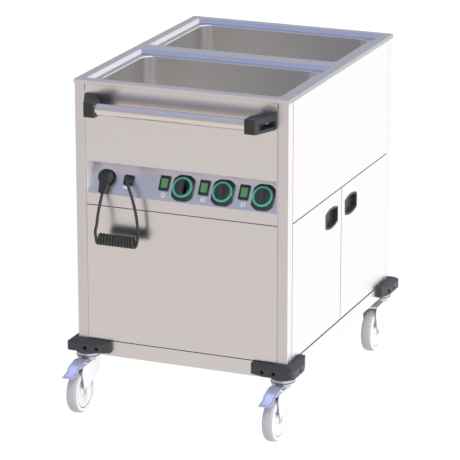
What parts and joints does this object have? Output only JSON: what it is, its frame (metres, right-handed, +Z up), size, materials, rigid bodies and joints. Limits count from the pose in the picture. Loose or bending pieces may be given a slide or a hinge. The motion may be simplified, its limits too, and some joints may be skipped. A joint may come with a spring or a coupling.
{
  "type": "hostess trolley",
  "caption": "Heated stainless serving trolley: drained wells in a sloping-rim deck, hot cupboard with hinged doors, control panel with dials, push handle, braked swivel casters.",
  "frame": {"origin": "on the floor, under the middle of the trolley's outline with its casters, bumpers and handle", "axes": "+X to the right of the person who pushes, towards the doors; +Y away from that person, to the rear; +Z up"},
  "size_m": [0.674, 0.973, 0.941],
  "materials": {
    "steel": "satin",
    "deck": "satin",
    "fascia": "satin",
    "liner": "satin",
    "heater": "satin",
    "wool": "matte",
    "gasket": "matte",
    "tube": "satin",
    "black_moulding": "satin",
    "grey_moulding": "matte",
    "cord": "satin",
    "screws": "satin",
    "green_ring": "gloss",
    "green_lens": "gloss",
    "zinc": "satin",
    "brass": "satin",
    "lever": "satin",
    "tyre": "matte",
    "thermostat": "matte"
  },
  "bodies": {
    "trolley": {"base_frame": "steel", "post_front_left": "steel", "post_front_right": "steel", "post_rear_left": "steel", "post_rear_right": "steel", "front_upper_panel": "steel", "front_lower_panel": "steel", "rear_panel": "steel", "left_panel": "steel", "right_upper_panel": "steel", "control_fascia": "fascia", "top_deck": "deck", "well_front": "deck", "well_rear": "deck", "heating_elements": "heater", "cabinet_liner": "liner", "shelf_runners": "liner", "insulation_boards": "wool", "door_gaskets": "gasket", "handle_tube": "tube", "handle_bracket_left": "black_moulding", "handle_bracket_right": "black_moulding", "fixing_screws": "screws", "park_socket": "black_moulding", "plug": "black_moulding", "cord_runs": "cord", "cord_curl": "cord", "cable_gland": "black_moulding", "switch_frames": "black_moulding", "dial_bezels": "black_moulding", "dial_rings": "green_ring", "thermostats": "thermostat", "bumper_front_left": "grey_moulding", "bumper_front_right": "grey_moulding", "bumper_rear_left": "grey_moulding", "bumper_rear_right": "grey_moulding", "caster_stems": "zinc", "drain_valves": "brass"},
    "door_front": {"door_front": "steel", "pull_front": "black_moulding"},
    "door_rear": {"door_rear": "steel", "pull_rear": "black_moulding"},
    "rocker_left": {"rocker_left": "green_lens"},
    "knob_left": {"knob_left": "black_moulding"},
    "rocker_middle": {"rocker_middle": "green_lens"},
    "knob_middle": {"knob_middle": "black_moulding"},
    "rocker_right": {"rocker_right": "green_lens"},
    "knob_right": {"knob_right": "black_moulding"},
    "drain_lever_front": {"drain_lever_front": "lever"},
    "drain_lever_rear": {"drain_lever_rear": "lever"},
    "fork_front_left": {"fork_front_left": "zinc"},
    "wheel_front_left": {"wheel_front_left": "tyre"},
    "fork_front_right": {"fork_front_right": "zinc"},
    "wheel_front_right": {"wheel_front_right": "tyre"},
    "fork_rear_left": {"fork_rear_left": "zinc"},
    "wheel_rear_left": {"wheel_rear_left": "tyre"},
    "fork_rear_right": {"fork_rear_right": "zinc"},
    "wheel_rear_right": {"wheel_rear_right": "tyre"},
    "brake_pedal_left": {"brake_pedal_left": "zinc"},
    "brake_pedal_right": {"brake_pedal_right": "zinc"}
  },
  "joints": [
    {"name": "door_front_hinge", "type": "hinge", "parent": "trolley", "child": "door_front", "pos_m": [0.303, -0.3215, 0.4], "axis": [0, 0, 1], "range_deg": [-110, 0]},
    {"name": "door_rear_hinge", "type": "hinge", "parent": "trolley", "child": "door_rear", "pos_m": [0.303, 0.4125, 0.4], "axis": [0, 0, 1], "range_deg": [0, 110]},
    {"name": "rocker_left_tip", "type": "hinge", "parent": "trolley", "child": "rocker_left", "pos_m": [-0.057, -0.34251, 0.66754], "axis": [1, 0, 0], "range_deg": [-16, 0]},
    {"name": "knob_left_turn", "type": "hinge", "parent": "trolley", "child": "knob_left", "pos_m": [-0.001, -0.34675, 0.66076], "axis": [0, -0.8477, 0.5304], "range_deg": [-270, 0]},
    {"name": "rocker_middle_tip", "type": "hinge", "parent": "trolley", "child": "rocker_middle", "pos_m": [0.059, -0.34251, 0.66754], "axis": [1, 0, 0], "range_deg": [-16, 0]},
    {"name": "knob_middle_turn", "type": "hinge", "parent": "trolley", "child": "knob_middle", "pos_m": [0.115, -0.34675, 0.66076], "axis": [0, -0.8477, 0.5304], "range_deg": [-270, 0]},
    {"name": "rocker_right_tip", "type": "hinge", "parent": "trolley", "child": "rocker_right", "pos_m": [0.175, -0.34251, 0.66754], "axis": [1, 0, 0], "range_deg": [-16, 0]},
    {"name": "knob_right_turn", "type": "hinge", "parent": "trolley", "child": "knob_right", "pos_m": [0.231, -0.34675, 0.66076], "axis": [0, -0.8477, 0.5304], "range_deg": [-270, 0]},
    {"name": "drain_lever_front_turn", "type": "hinge", "parent": "trolley", "child": "drain_lever_front", "pos_m": [-0.3015, -0.1635, 0.13], "axis": [1, 0, 0], "range_deg": [-90, 0]},
    {"name": "drain_lever_rear_turn", "type": "hinge", "parent": "trolley", "child": "drain_lever_rear", "pos_m": [-0.3015, 0.2545, 0.13], "axis": [1, 0, 0], "range_deg": [0, 90]},
    {"name": "swivel_front_left", "type": "hinge", "parent": "trolley", "child": "fork_front_left", "pos_m": [-0.29, -0.3485, 0.15], "axis": [0, 0, 1], "continuous": true},
    {"name": "wheel_front_left_spin", "type": "hinge", "parent": "fork_front_left", "child": "wheel_front_left", "pos_m": [-0.29, -0.4065, 0.0625], "axis": [1, 0, 0], "continuous": true},
    {"name": "brake_pedal_left_press", "type": "hinge", "parent": "fork_front_left", "child": "brake_pedal_left", "pos_m": [-0.29, -0.4115, 0.1315], "axis": [1, 0, 0], "range_deg": [0, 12]},
    {"name": "swivel_front_right", "type": "hinge", "parent": "trolley", "child": "fork_front_right", "pos_m": [0.29, -0.3485, 0.15], "axis": [0, 0, 1], "continuous": true},
    {"name": "wheel_front_right_spin", "type": "hinge", "parent": "fork_front_right", "child": "wheel_front_right", "pos_m": [0.29, -0.4065, 0.0625], "axis": [1, 0, 0], "continuous": true},
    {"name": "brake_pedal_right_press", "type": "hinge", "parent": "fork_front_right", "child": "brake_pedal_right", "pos_m": [0.29, -0.4115, 0.1315], "axis": [1, 0, 0], "range_deg": [0, 12]},
    {"name": "swivel_rear_left", "type": "hinge", "parent": "trolley", "child": "fork_rear_left", "pos_m": [-0.29, 0.4395, 0.15], "axis": [0, 0, 1], "continuous": true},
    {"name": "wheel_rear_left_spin", "type": "hinge", "parent": "fork_rear_left", "child": "wheel_rear_left", "pos_m": [-0.29, 0.3815, 0.0625], "axis": [1, 0, 0], "continuous": true},
    {"name": "swivel_rear_right", "type": "hinge", "parent": "trolley", "child": "fork_rear_right", "pos_m": [0.29, 0.4395, 0.15], "axis": [0, 0, 1], "continuous": true},
    {"name": "wheel_rear_right_spin", "type": "hinge", "parent": "fork_rear_right", "child": "wheel_rear_right", "pos_m": [0.29, 0.3815, 0.0625], "axis": [1, 0, 0], "continuous": true}
  ]
}
